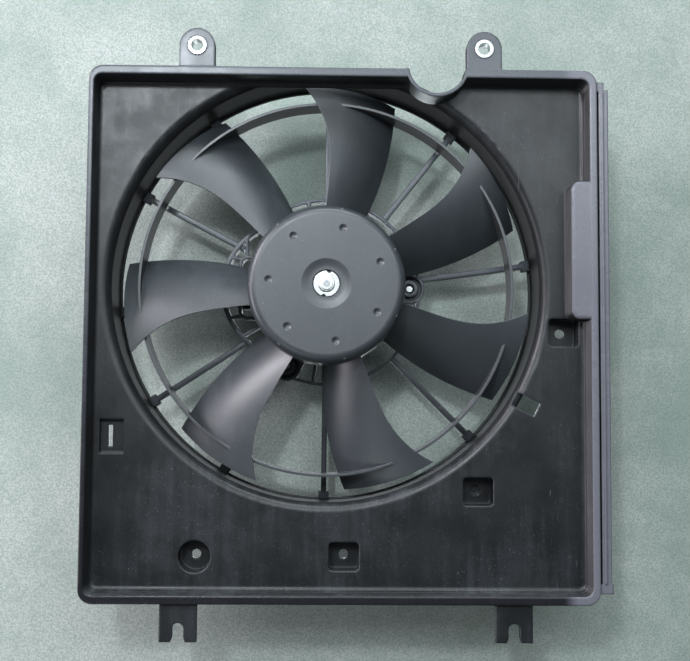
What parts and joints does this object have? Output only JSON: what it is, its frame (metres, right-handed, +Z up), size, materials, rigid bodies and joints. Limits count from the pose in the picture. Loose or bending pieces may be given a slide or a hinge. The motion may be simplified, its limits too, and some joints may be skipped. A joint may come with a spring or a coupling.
{
  "type": "radiator cooling fan",
  "caption": "Rectangular moulded shroud with a round barrel and spokes carrying an electric motor with a bladed fan, upper ears and lower forks.",
  "frame": {"origin": "midpoint between the two upper ears' holes, in the plane of the shroud's front rim", "axes": "+Z up as installed, fan axis along Y with the radiator side facing -Y, +X to the right seen from the radiator"},
  "size_m": [0.3742, 0.097, 0.4354],
  "materials": {
    "shroud_plastic": "moulded glass-filled nylon, faint dusty bloom",
    "fan_plastic": "moulded, satin",
    "collar_steel": "zinc plated",
    "bright_steel": "zinc plated, turned",
    "casing_steel": "black coated, semi-gloss",
    "shaft_steel": "ground",
    "core_steel": "laminated electrical steel",
    "magnet": "ferrite",
    "copper": "enamelled copper",
    "bronze": "sintered bronze",
    "carbon": "carbon",
    "spring_steel": "spring steel",
    "brush_board": "phenolic board",
    "connector_plastic": "moulded"
  },
  "bodies": {
    "shroud_and_motor": {"shroud": "shroud_plastic", "motor_stay": "shroud_plastic", "fork_left": "shroud_plastic", "fork_right": "shroud_plastic", "ear_collar_left": "collar_steel", "ear_collar_right": "collar_steel", "motor_housing": "casing_steel", "motor_end_cap": "casing_steel", "front_bush": "bronze", "rear_bush": "bronze", "motor_magnets": "magnet", "brush_plate": "brush_board", "brushes": "carbon", "brush_springs": "spring_steel", "motor_screws": "bright_steel", "connector_housing": "connector_plastic", "connector_terminals": "copper"},
    "rotor": {"impeller": "fan_plastic", "hub_insert": "bright_steel", "hub_nut": "bright_steel", "motor_shaft": "shaft_steel", "armature_core": "core_steel", "armature_windings": "copper", "commutator": "copper"}
  },
  "joints": [
    {"name": "fan_spin", "type": "hinge", "parent": "shroud_and_motor", "child": "rotor", "pos_m": [-0.0092, 0.045, -0.1709], "axis": [0, -1, 0], "continuous": true}
  ]
}
